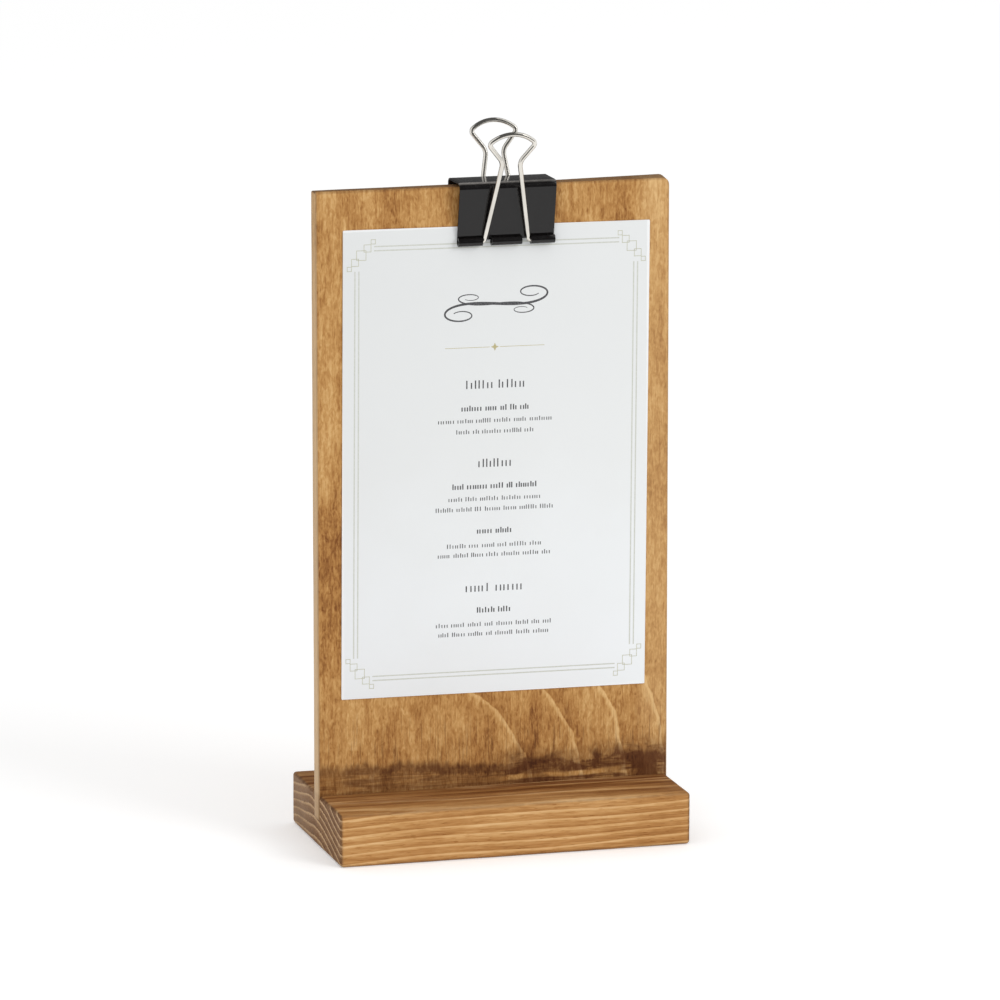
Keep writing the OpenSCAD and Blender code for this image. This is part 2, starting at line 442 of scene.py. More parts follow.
@dataclass(frozen=True)
class StainedBlock(BoxFinish):
    """Golden stain on a softwood block, with its rings about a pith far below."""

    board_front: float
    top: float
    pith: tuple[float, float] = (9.0, -111.0)
    ring: float = 2.75
    rise: float = 0.028
    long_tones: Tones = (
        (0.0, (132, 82, 38)),
        (0.34, (178, 128, 75)),
        (0.58, (203, 156, 101)),
        (0.95, (228, 190, 139)),
    )
    end_tones: Tones = ((0.1, (97, 65, 37)), (0.42, (133, 95, 63)), (0.95, (219, 184, 139)))
    # Paler end grain towards the back: painted light.
    end_light_tone: Colour = (178, 148, 118)
    stain: Colour = (126, 74, 10)
    edge_tone: Colour = (112, 82, 58)

    def material(self) -> Material:
        """Builds rings on all faces, end grain at both ends, made paler towards the back by painted
        light, and dark stain along the board.

        Returns:
            The block's material.
        """
        material, graph, shader = self.start()
        place = graph.position()
        x, y, z = graph.split(place)
        sway = graph.scaled(graph.noise(place, (110.0, 34.0, 34.0), detail=1.0), -3.4, 3.4)
        level = graph.total(graph.times(x, -self.rise), z, sway)
        radius = graph.length(graph.less(y, self.pith[0]), graph.less(level, self.pith[1]))
        ring = graph.math("DIVIDE", radius, self.ring)
        figure = Effect.place(
            graph, "wood_figure", Vector=graph.join(y, z, x), Ring=ring, Width=0.4
        )
        late, fibre, blotch = figure["Late"], figure["Fibre"], figure["Blotch"]
        tone = graph.weighted((late, 0.42), (fibre, 0.34), (blotch, 0.24), (figure["Pore"], -0.2))
        wood = graph.ramp(tone, self.long_tones)
        speckle = graph.cloud(place, (5.0, 0.4, 0.4), (0.3, 0.7), detail=3.0)
        end_tone = graph.weighted((late, 0.55), (speckle, 0.3), (blotch, 0.2))
        rear = graph.ease(y, -4.0, 20.0)
        end = graph.ramp(end_tone, self.end_tones)
        # Painted light: the end grain turns paler towards the back.
        end = graph.mix(graph.times(rear, 0.36), end, linear(self.end_light_tone))
        at_end = graph.ease(graph.math("ABSOLUTE", x), self.half[0] - 0.9, self.half[0] - 0.35)
        wood = graph.mix(at_end, wood, end)
        before = graph.total(graph.less(self.board_front, y), graph.scaled(blotch, -5.0, 5.0))
        streak = graph.cloud(place, (60.0, 2.4, 6.0), (0.34, 0.66), detail=3.0)
        pooled = graph.times(
            graph.ease(before, 40.0, 2.0),
            graph.ease(z, self.top - 1.2, self.top - 0.3),
            graph.scaled(streak, 0.45, 1.5),
            graph.scaled(rear, 0.56, 0.46),
        )
        wood = graph.mix(pooled, wood, linear(self.stain), blend="MULTIPLY")
        edge = graph.times(self.edge(graph, place, 1.3), 0.4)
        wood = graph.mix(edge, wood, linear(self.edge_tone))
        looks = {
            "Base Color": wood,
            "Roughness": graph.scaled(fibre, 0.44, 0.7),
            "Normal": graph.bump(figure["Height"], 0.06, 0.5),
            "Specular IOR Level": 0.06,
        }
        graph.fill(shader, looks)
        return material


@dataclass(frozen=True)
class StainedBoard(BoxFinish):
    """Blotchy golden stain on an upright board, darkest along its foot."""

    foot: float
    top: float
    arch_x: float = 6.6
    arch_z: float = 34.0
    tones: Tones = (
        (0.05, (122, 72, 30)),
        (0.34, (170, 120, 64)),
        (0.58, (194, 147, 88)),
        (0.95, (222, 182, 124)),
    )
    # Paler right edge above the foot: painted light.
    pale_tone: Colour = (212, 176, 128)
    stain: Colour = (134, 110, 100)
    side_tone: Colour = (224, 192, 150)
    top_tone: Colour = (104, 76, 52)
    edge_tone: Colour = (104, 72, 44)

    def material(self) -> Material:
        """Builds upright grain with arched rings low on the right, a dark band at the foot and painted
        light that makes its right edge paler.

        Returns:
            The board's material.
        """
        material, graph, shader = self.start()
        place = graph.position()
        x, y, z = graph.split(place)
        ring, arched = self.arches(graph, place, x, z)
        figure = Effect.place(graph, "wood_figure", Vector=place, Ring=ring, Width=0.12)
        curl = graph.cloud(place, (1.3, 1.3, 3.4), (0.3, 0.7), detail=3.0, twist=1.0)
        grit = graph.cloud(place, (0.6, 0.6, 1.2), (0.3, 0.7), detail=2.0)
        at_left, at_right = graph.ease(x, -46.0, -52.0), graph.ease(x, 46.0, 52.0)
        grain = graph.weighted(
            (figure["Fibre"], 0.3),
            (figure["Blotch"], 0.48),
            (curl, 0.26),
            (grit, 0.12),
            # Painted light: the grain turns paler towards the right edge.
            (at_right, 0.17),
            (figure["Pore"], -0.22),
            base=-0.15,
        )
        tone = graph.total(
            grain,
            graph.times(graph.less(figure["Late"], 0.22), arched),
            graph.times(at_left, graph.scaled(graph.ease(z, 95.0, 130.0), -0.16, 0.03)),
            graph.times(graph.ease(z, 70.0, 45.0), graph.ease(x, 10.0, -20.0), 0.09),
        )
        wood = graph.ramp(tone, self.tones)
        # Painted light: a paler patch along the right edge above the foot.
        pale = graph.times(at_right, graph.ease(z, 26.0, 40.0), 0.16)
        wood = graph.mix(pale, wood, linear(self.pale_tone))
        dark = self.foot_stain(graph, place, x, graph.less(z, self.foot))
        wood = graph.mix(dark, wood, linear(self.stain), blend="MULTIPLY")
        at_side = graph.times(
            graph.ease(graph.math("ABSOLUTE", x), self.half[0] - 0.5, self.half[0] - 0.2),
            graph.scaled(graph.ease(z, 16.0, 19.0), 0.5, 0.75),
            graph.scaled(graph.ease(z, 168.0, 208.0), 1.0, 0.55),
        )
        wood = graph.mix(at_side, wood, linear(self.side_tone))
        front = self.middle[1] - self.half[1]
        at_top = graph.times(
            graph.ease(z, self.top - 0.55, self.top - 0.2),
            graph.ease(y, front + 0.1, front + 0.8),
            0.72,
        )
        wood = graph.mix(at_top, wood, linear(self.top_tone))
        edge = graph.times(self.edge(graph, place, 0.9), 0.35)
        wood = graph.mix(edge, wood, linear(self.edge_tone))
        looks = {
            "Base Color": wood,
            "Roughness": graph.scaled(figure["Fibre"], 0.42, 0.66),
            "Normal": graph.bump(figure["Height"], 0.06, 0.5),
            "Specular IOR Level": 0.18,
        }
        graph.fill(shader, looks)
        return material

    def arches(self, graph: Graph, place: Socket, x: Socket, z: Socket) -> tuple[Socket, Socket]:
        """Lays out the arched rings low on the board, which lean less and stand closer to the right.

        Args:
            graph: The material's graph.
            place: The place on the board in millimetres.
            x: The place across the board.
            z: The height.

        Returns:
            The ring count and how strongly the rings show.
        """
        up = graph.less(z, self.arch_z)
        lean = graph.times(
            up,
            graph.math("MULTIPLY_ADD", up, 0.01, 0.5),
            graph.math("MULTIPLY_ADD", x, -0.0185, 1.33),
        )
        sway = graph.scaled(graph.noise(place, (9.0, 9.0, 14.0), detail=2.0), -2.2, 2.2)
        past = graph.total(x, lean, sway, -self.arch_x)
        ring = graph.times(past, graph.math("MULTIPLY_ADD", past, 0.00026, 0.0477))
        low = graph.times(graph.ease(z, 64.0, 46.0), graph.ease(past, -12.0, -1.0))
        return graph.total(ring, 0.96), graph.scaled(low, 0.04, 0.44)

    @staticmethod
    def foot_stain(graph: Graph, place: Socket, x: Socket, above: Socket) -> Socket:
        """Masks the stain that ran and pooled along the board's foot.

        Args:
            graph: The material's graph.
            place: The place on the board in millimetres.
            x: The place across the board.
            above: The height above the block.

        Returns:
            The mask's socket, 1 where the stain is darkest.
        """
        drips = graph.cloud(place, (1.3, 1.3, 14.0), (0.25, 0.75), detail=5.0)
        drift = graph.cloud(place, (12.0, 12.0, 40.0), (0.3, 0.7), detail=2.0)
        uneven = graph.cloud(place, (6.0, 6.0, 3.6), (0.32, 0.68), detail=4.0, twist=0.6)
        strokes = graph.cloud(place, (14.0, 14.0, 1.0), (0.32, 0.68), detail=3.0, twist=0.8)
        streaks = graph.cloud(place, (0.5, 0.5, 12.0), (0.55, 0.67), detail=2.0)
        right = graph.ease(x, -6.0, 8.0)
        corner = graph.ease(graph.total(x, graph.scaled(uneven, -3.0, 3.0)), 41.0, 48.0)
        ragged = graph.weighted((drips, 1.8), (drift, 1.6), (corner, 1.8), base=-1.7)
        reach = graph.total(graph.most(graph.math("MULTIPLY_ADD", x, -0.0475, 7.65), 6.8), ragged)
        over = graph.less(above, reach)
        core = graph.times(
            graph.ease(over, 1.3, -1.7), graph.ease(over, -5.2, -3.0), graph.scaled(uneven, 0.6, 1.0)
        )
        inside = graph.times(graph.ease(over, 0.6, -1.4), graph.scaled(strokes, 0.42, 0.88))
        smoke = graph.times(graph.ease(over, 6.5, -0.8), graph.scaled(uneven, 0.3, 0.95), right)
        runs = graph.times(streaks, graph.ease(over, 24.0, 1.0), 0.5)
        pooled = graph.times(
            graph.ease(over, 2.4, -1.4),
            graph.scaled(uneven, 0.8, 1.0),
            graph.ease(x, 57.4, 54.6),
            corner,
        )
        dark = graph.most(core, inside, runs, smoke, pooled)
        level = graph.math("ABSOLUTE", graph.less(above, graph.scaled(drift, 1.2, 2.4)))
        missed = graph.times(
            graph.ease(level, 1.25, 0.4),
            right,
            graph.ease(x, 49.0, 43.0),
            graph.scaled(uneven, 0.3, 1.0),
        )
        dark = graph.times(dark, graph.scaled(missed, 1.0, 0.0))
        dark = graph.math("MULTIPLY", dark, graph.scaled(right, 0.94, 1.16), clamp=True)
        return graph.times(dark, graph.scaled(graph.ease(x, -48.0, -52.0), 1.0, 0.76))


@dataclass(frozen=True)
class BlackEnamel(Finish):
    """Stoved black enamel on spring steel, with a painted highlight along the folds."""

    middle_y: float
    fold: tuple[float, float]
    colour: Colour = (15, 13, 13)
    # Grey of the painted highlight along the folds.
    highlight_tone: Colour = (142, 138, 134)

    def material(self) -> Material:
        """Builds a satin black with a faint orange peel and a grey painted highlight line on each fold.

        Returns:
            The clip's material.
        """
        material, graph, shader = self.start()
        place = graph.position()
        mottle = Effect.place(graph, "fine_mottle", Vector=place, Grain=(0.35, 0.35, 0.35))
        lighter = tuple(c + 6 for c in self.colour)
        shade = graph.ramp(mottle["Gloss"], [(0.3, self.colour), (0.7, lighter)])
        x, y, z = graph.split(place)
        from_middle = graph.math("ABSOLUTE", graph.less(y, self.middle_y))
        away = graph.length(graph.less(from_middle, self.fold[0]), graph.less(z, self.fold[1]))
        patchy = graph.cloud(place, (2.4, 0.6, 0.6), (0.3, 0.7), detail=3.0)
        # Painted highlight: a grey line along each fold, patchy and fainter towards the right.
        painted_highlight = graph.times(
            graph.ease(away, 1.05, 0.15),
            graph.scaled(patchy, 0.6, 1.0),
            graph.scaled(graph.ease(x, -6.0, 14.0), 1.0, 0.58),
        )
        looks = {
            "Base Color": graph.mix(painted_highlight, shade, linear(self.highlight_tone)),
            "Roughness": graph.scaled(mottle["Gloss"], 0.06, 0.2),
            "Normal": graph.bump(mottle["Height"], 0.003, 0.4),
            "Specular IOR Level": 0.4,
        }
        graph.fill(shader, looks)
        return material


@dataclass(frozen=True)
class NickelPlate(Finish):
    """Bright nickel plate on drawn wire."""

    colour: Colour = (226, 222, 214)

    def material(self) -> Material:
        """Builds a bright metal with faint drawing marks.

        Returns:
            The wire's material.
        """
        material, graph, shader = self.start()
        mottle = Effect.place(graph, "fine_mottle", Vector=graph.position(), Grain=(0.5, 0.5, 2.5))
        darker = tuple(c - 16 for c in self.colour)
        looks = {
            "Base Color": graph.ramp(mottle["Gloss"], [(0.3, darker), (0.7, self.colour)]),
            "Roughness": graph.scaled(mottle["Gloss"], 0.04, 0.16),
            "Normal": graph.bump(mottle["Height"], 0.012, 0.3),
            "Metallic": 1.0,
        }
        graph.fill(shader, looks)
        return material


@dataclass(frozen=True)
class CardStock(BoxFinish):
    """Smooth white card, brighter where it was cut, with painted light that brightens it towards its
    foot.
    """

    # Painted light: the paper is brighter towards its foot and greyer towards its top.
    tones: Tones = ((0.0, (236, 239, 241)), (0.5, (228, 230, 230)), (1.0, (225, 227, 227)))
    edge_tone: Colour = (246, 247, 248)

    def material(self) -> Material:
        """Builds paper with fine fibres and clean cut edges, with painted light that makes it a little
        greyer towards its top.

        Returns:
            The card's material.
        """
        material, graph, shader = self.start()
        place = graph.position()
        mottle = Effect.place(graph, "fine_mottle", Vector=place, Grain=(0.12, 0.12, 0.12))
        low, high = self.middle[2] - self.half[2], self.middle[2] + self.half[2]
        tint = graph.scaled(graph.noise(place, (30.0, 30.0, 30.0), detail=2.0), -0.2, 0.2)
        # Painted light: the tone follows the height, brighter at the foot.
        level = graph.total(graph.ease(graph.split(place)[2], low, high), tint)
        edge = graph.times(self.edge(graph, place, 0.5), 0.6)
        paper = graph.mix(edge, graph.ramp(level, self.tones), linear(self.edge_tone))
        looks = {
            "Base Color": paper,
            "Roughness": graph.scaled(mottle["Gloss"], 0.5, 0.66),
            "Normal": graph.bump(mottle["Height"], 0.004, 0.4),
            "Specular IOR Level": 0.3,
        }
        graph.fill(shader, looks)
        return material


@dataclass(frozen=True)
class Ink(Finish):
    """Printing ink, a little thin in places."""

    colour: Colour
    thin: Colour

    def material(self) -> Material:
        """Builds an ink that varies between full and thin.

        Returns:
            The print's material.
        """
        material, graph, shader = self.start()
        mottle = Effect.place(graph, "fine_mottle", Vector=graph.position(), Grain=(0.1, 0.1, 0.1))
        looks = {
            "Base Color": graph.ramp(mottle["Gloss"], [(0.35, self.thin), (0.6, self.colour)]),
            "Roughness": graph.scaled(mottle["Gloss"], 0.45, 0.6),
            "Specular IOR Level": 0.3,
        }
        graph.fill(shader, looks)
        return material


class Bench:
    """Edit-mode work on one mesh object, in millimetres."""

    def __init__(self, name: str) -> None:
        """Takes over the object that was added last, puts its place into its mesh and names it."""
        self.obj = bpy.context.object
        self.obj.name = self.obj.data.name = name
        bpy.ops.object.transform_apply(location=True, rotation=True, scale=True)

    @staticmethod
    def clear() -> None:
        """Deselects everything, so that operators act on new work only."""
        bpy.ops.object.select_all(action="DESELECT")

    @classmethod
    def cube(cls, name: str, low: Point, high: Point) -> "Bench":
        """Starts from a box.

        Args:
            name: The piece's name.
            low: The box's lowest corner.
            high: The box's highest corner.

        Returns:
            The bench with the box on it.
        """
        cls.clear()
        middle = [(a + b) / 2 * MM for a, b in zip(low, high)]
        size = [(b - a) * MM for a, b in zip(low, high)]
        bpy.ops.mesh.primitive_cube_add(size=1, location=middle, scale=size)
        return cls(name)

    @classmethod
    def plane(
        cls, name: str, middle: Point, size: tuple[float, float], upright: bool = False
    ) -> "Bench":
        """Starts from a rectangle.

        Args:
            name: The piece's name.
            middle: The rectangle's middle.
            size: Its extent along x, and along y or, when upright, z.
            upright: Whether it stands and faces the front.

        Returns:
            The bench with the rectangle on it.
        """
        cls.clear()
        turn = (math.pi / 2 if upright else 0, 0, 0)
        bpy.ops.mesh.primitive_plane_add(size=1, location=[c * MM for c in middle], rotation=turn)
        bpy.context.object.scale = (size[0] * MM, size[1] * MM, 1)
        return cls(name)

    @classmethod
    def circle(cls, name: str, middle: Point, radius: float, sides: int) -> "Bench":
        """Starts from a circle that faces along x.

        Args:
            name: The piece's name.
            middle: The circle's middle.
            radius: Its radius.
            sides: How many sides it has.

        Returns:
            The bench with the circle on it.
        """
        cls.clear()
        bpy.ops.mesh.primitive_circle_add(
            vertices=sides,
            radius=radius * MM,
            location=[c * MM for c in middle],
            rotation=(0, math.pi / 2, 0),
        )
        return cls(name)

    @classmethod
    def empty(cls, name: str) -> "Bench":
        """Starts from nothing, for shapes that are added in edit mode."""
        with cls.plane(name, (0, 0, 0), (1, 1)).editing() as bench:
            bench.pick_all()
            bpy.ops.mesh.delete(type="VERT")
        return bench

    def take(self) -> None:
        """Makes the piece the active object and the only selected one."""
        self.clear()
        self.obj.select_set(True)
        bpy.context.view_layer.objects.active = self.obj

    @contextmanager
    def editing(self) -> Iterator["Bench"]:
        """Opens edit mode on the piece and closes it again."""
        self.take()
        bpy.ops.object.mode_set(mode="EDIT")
        yield self
        bpy.ops.object.mode_set(mode="OBJECT")

    def pick(self, kind: Element, test: Test) -> None:
        """Selects elements by their middle and direction.

        Args:
            kind: What to select.
            test: Takes an element's middle in millimetres and its normal, or an edge's direction.
        """
        bpy.ops.mesh.select_mode(type=kind.value)
        bpy.ops.mesh.select_all(action="DESELECT")
        mesh = bmesh.from_edit_mesh(self.obj.data)
        mesh.normal_update()
        groups = {Element.VERT: mesh.verts, Element.EDGE: mesh.edges, Element.FACE: mesh.faces}
        for element in groups[kind]:
            if kind is Element.VERT:
                middle, way = element.co, element.normal
            elif kind is Element.EDGE:
                first, second = (vert.co for vert in element.verts)
                middle, way = (first + second) / 2, (second - first).normalized()
            else:
                middle, way = element.calc_center_median(), element.normal
            element.select_set(test(middle / MM, way))
        mesh.select_flush_mode()
        bmesh.update_edit_mesh(self.obj.data)

    def pick_all(self) -> None:
        """Selects the whole mesh."""
        bpy.ops.mesh.select_all(action="SELECT")

    def drop(self, test: Test) -> None:
        """Deletes the faces that a test chooses."""
        self.pick(Element.FACE, test)
        bpy.ops.mesh.delete(type="FACE")

    def bevel(self, width: float, segments: int) -> None:
        """Rounds the selected edges to a radius."""
        bpy.ops.mesh.bevel(
            offset=width * MM, segments=segments, profile=0.5, affect="EDGES", clamp_overlap=True
        )

    def extrude(self, move: Point) -> None:
        """Draws the selected elements out by a move."""
        bpy.ops.mesh.extrude_region_move(TRANSFORM_OT_translate={"value": [c * MM for c in move]})

    def spin(self, middle: Point, axis: Point, degrees: float, steps: int) -> None:
        """Sweeps the selected elements round an axis through a middle by the right-hand rule."""
        bpy.ops.mesh.spin(
            steps=steps,
            dupli=False,
            angle=math.radians(degrees),
            center=[c * MM for c in middle],
            axis=[-c for c in axis],
        )

    def cut(self, places: Sequence[float], axis: int) -> None:
        """Cuts the mesh along planes across one axis.

        Args:
            places: Where the planes stand.
            axis: 0, 1 or 2 for x, y or z.
        """
        normal = [1.0 if i == axis else 0.0 for i in range(3)]
        for place in places:
            self.pick_all()
            bpy.ops.mesh.bisect(plane_co=[c * place * MM for c in normal], plane_no=normal)

    def weld(self) -> None:
        """Merges doubles and turns all faces outwards."""
        self.pick_all()
        bpy.ops.mesh.remove_doubles(threshold=TOUCH * MM)
        bpy.ops.mesh.normals_make_consistent(inside=False)

    def modify(self, kind: str, **settings: object) -> None:
        """Adds a modifier to the piece and applies it.

        Args:
            kind: The modifier's type.
            **settings: Its properties.
        """
        self.take()
        modifier = self.obj.modifiers.new(kind.lower(), kind)
        for name, value in settings.items():
            setattr(modifier, name, value)
        bpy.ops.object.modifier_apply(modifier=modifier.name)

    def carve(self, cutter: "Bench") -> None:
        """Takes another piece's shape away from this one and removes that piece."""
        self.modify("BOOLEAN", operation="DIFFERENCE", object=cutter.obj, solver="EXACT")
        bpy.data.objects.remove(cutter.obj)

    def weather(self, grain: float, depth: float) -> None:
        """Makes the faces a little uneven, only ever inwards.

        Args:
            grain: Size of the unevenness.
            depth: The deepest place.
        """
        texture = bpy.data.textures.new(self.obj.name + "_uneven", "CLOUDS")
        texture.noise_scale = grain * MM
        texture.noise_depth = 2
        self.modify(
            "DISPLACE", texture=texture, texture_coords="LOCAL", strength=depth * MM, mid_level=1.0
        )

    def move(self, shift: Point, lean: float = 0.0, turn: float = 0.0) -> None:
        """Turns the piece about the origin, moves it, and puts both into its mesh.

        Args:
            shift: Where the origin goes.
            lean: Turn about x in degrees.
            turn: Turn about y in degrees.
        """
        self.take()
        self.obj.rotation_euler = (math.radians(lean), math.radians(turn), 0)
        self.obj.location = [c * MM for c in shift]
        bpy.ops.object.transform_apply(location=True, rotation=True, scale=True)

    def dress(self, finish: Material) -> bpy.types.Object:
        """Smooths the shading between sharp edges and gives the piece its material.

        Args:
            finish: The material.

        Returns:
            The finished object.
        """
        self.take()
        bpy.ops.object.shade_smooth_by_angle(angle=math.radians(SHARP_DEGREES))
        self.obj.data.materials.clear()
        self.obj.data.materials.append(finish)
        return self.obj


def settle(piece: bpy.types.Object, body: Body, slot: Slot, *nodes: str) -> None:
    """Puts a piece on its body, in place of the solids that it stands for.

    Args:
        piece: The finished piece.
        body: The body that it rides on.
        slot: The record's material slot; not used.
        *nodes: Solids that it replaces.
    """
    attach(piece, body.value)
    if nodes:
        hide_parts(*nodes)
    log.info("%s: %d faces on %s", piece.name, len(piece.data.polygons), body.value)


def steps_between(low: float, high: float, pitch: float) -> list[float]:
    """Lists evenly spaced places inside a stretch, about a pitch apart.

    Args:
        low: The stretch's start.
        high: The stretch's end.
        pitch: The spacing to aim for.

    Returns:
        The places, without the two ends.
    """
    count = max(2, round((high - low) / pitch))
    return [low + (high - low) * i / count for i in range(1, count)]


@dataclass
class WoodStand:
    """Base block with its groove, and the board that is glued into it."""

    base_width: float = 116.6
    base_depth: float = 63.5
    base_height: float = 17.3
    base_edge: float = 1.2
    groove_depth: float = 8.0
    groove_middle: float = -1.45
    glue_gap: float = 0.05
    board_width: float = 117.2
    board_top: float = 213.6
    board_thick: float = 6.0
    left_corner: float = 0.6
    right_corner: float = 2.2
    board_edge: float = 0.5
    pick_margin: float = 0.5
    twist_from: tuple[float, float] = (-13.5, 20.5)
    twist_rise: tuple[tuple[float, float], ...] = ((0.25, -0.15), (0.0, 0.6))
    block_pitch: float = 1.6
    block_uneven: tuple[float, float] = (9.0, 0.16)
    board_pitch: float = 2.0
    board_uneven: tuple[float, float] = (14.0, 0.08)

    @property
    def board_front(self) -> float:
        """Place of the board's front face."""
        return self.groove_middle - self.board_thick / 2

    @property
    def board_foot(self) -> float:
        """Height of the groove's floor."""
        return self.base_height - self.groove_depth

    def block(self) -> None:
        """Models and dresses the base block."""
        half_w, half_d = self.base_width / 2, self.base_depth / 2
        low, high = (-half_w, -half_d, 0), (half_w, half_d, self.base_height)
        bench = Bench.cube("base_block_wood", low, high)
        with bench.editing():
            bench.pick_all()
            bench.bevel(self.base_edge, segments=5)
        reach = self.board_thick / 2 + self.glue_gap
        cutter = Bench.cube(
            "groove_cutter",
            (-self.base_width, self.groove_middle - reach, self.board_foot),
            (self.base_width, self.groove_middle + reach, 2 * self.base_height),
        )
        bench.carve(cutter)
        with bench.editing():
            for axis, (start, end) in enumerate(zip(low, high)):
                bench.cut(steps_between(start, end, self.block_pitch), axis)
            bench.weld()
        bench.weather(*self.block_uneven)
        finish = StainedBlock(
            "stained_block",
            half=(half_w, half_d, self.base_height / 2),
            middle=(0.0, 0.0, self.base_height / 2),
            board_front=self.board_front,
            top=self.base_height,
        )
        settle(bench.dress(finish.material()), Body.STAND, Slot.BLOCK, "base_block")

    def board(self) -> None:
        """Models and dresses the upright board."""
        half_w, half_t = self.board_width / 2, self.board_thick / 2
        low = (-half_w, self.groove_middle - half_t, self.board_foot)
        high = (half_w, self.groove_middle + half_t, self.board_top)
        bench = Bench.cube("back_board_wood", low, high)
        with bench.editing():
            bench.cut(self.twist_from, 0)
            for end, rises in zip((-1, 1), self.twist_rise):
                for face, rise in zip((-1, 1), rises):
                    bench.pick(
                        Element.VERT,
                        lambda mid, way: mid.x * end > half_w - NEAR
                        and mid.z > self.board_top - self.pick_margin
                        and (mid.y - self.groove_middle) * face > 0,
                    )
                    bpy.ops.transform.translate(value=(0, 0, rise * MM))
            for side, radius in ((-1, self.left_corner), (1, self.right_corner)):
                bench.pick(
                    Element.EDGE,
                    lambda mid, way: abs(way.y) > ALONG
                    and mid.z > self.board_top - self.pick_margin
                    and mid.x * side > half_w - NEAR,
                )
                bench.bevel(radius, segments=5)
            bench.pick(
                Element.EDGE,
                lambda mid, way: abs(way.y) < ACROSS
                and mid.z > self.board_foot + self.pick_margin
                and min(abs(mid.x - place) for place in self.twist_from) > self.pick_margin,
            )
            bench.bevel(self.board_edge, segments=3)
            for axis in (0, 2):
                bench.cut(steps_between(low[axis], high[axis], self.board_pitch), axis)
            bench.weld()
        bench.weather(*self.board_uneven)
        finish = StainedBoard(
            "stained_board",
            half=(half_w, half_t, (self.board_top - self.board_foot) / 2),
            middle=(0.0, self.groove_middle, (self.board_top + self.board_foot) / 2),
            foot=self.base_height,
            top=self.board_top,
        )
        settle(bench.dress(finish.material()), Body.STAND, Slot.BOARD, "back_board")


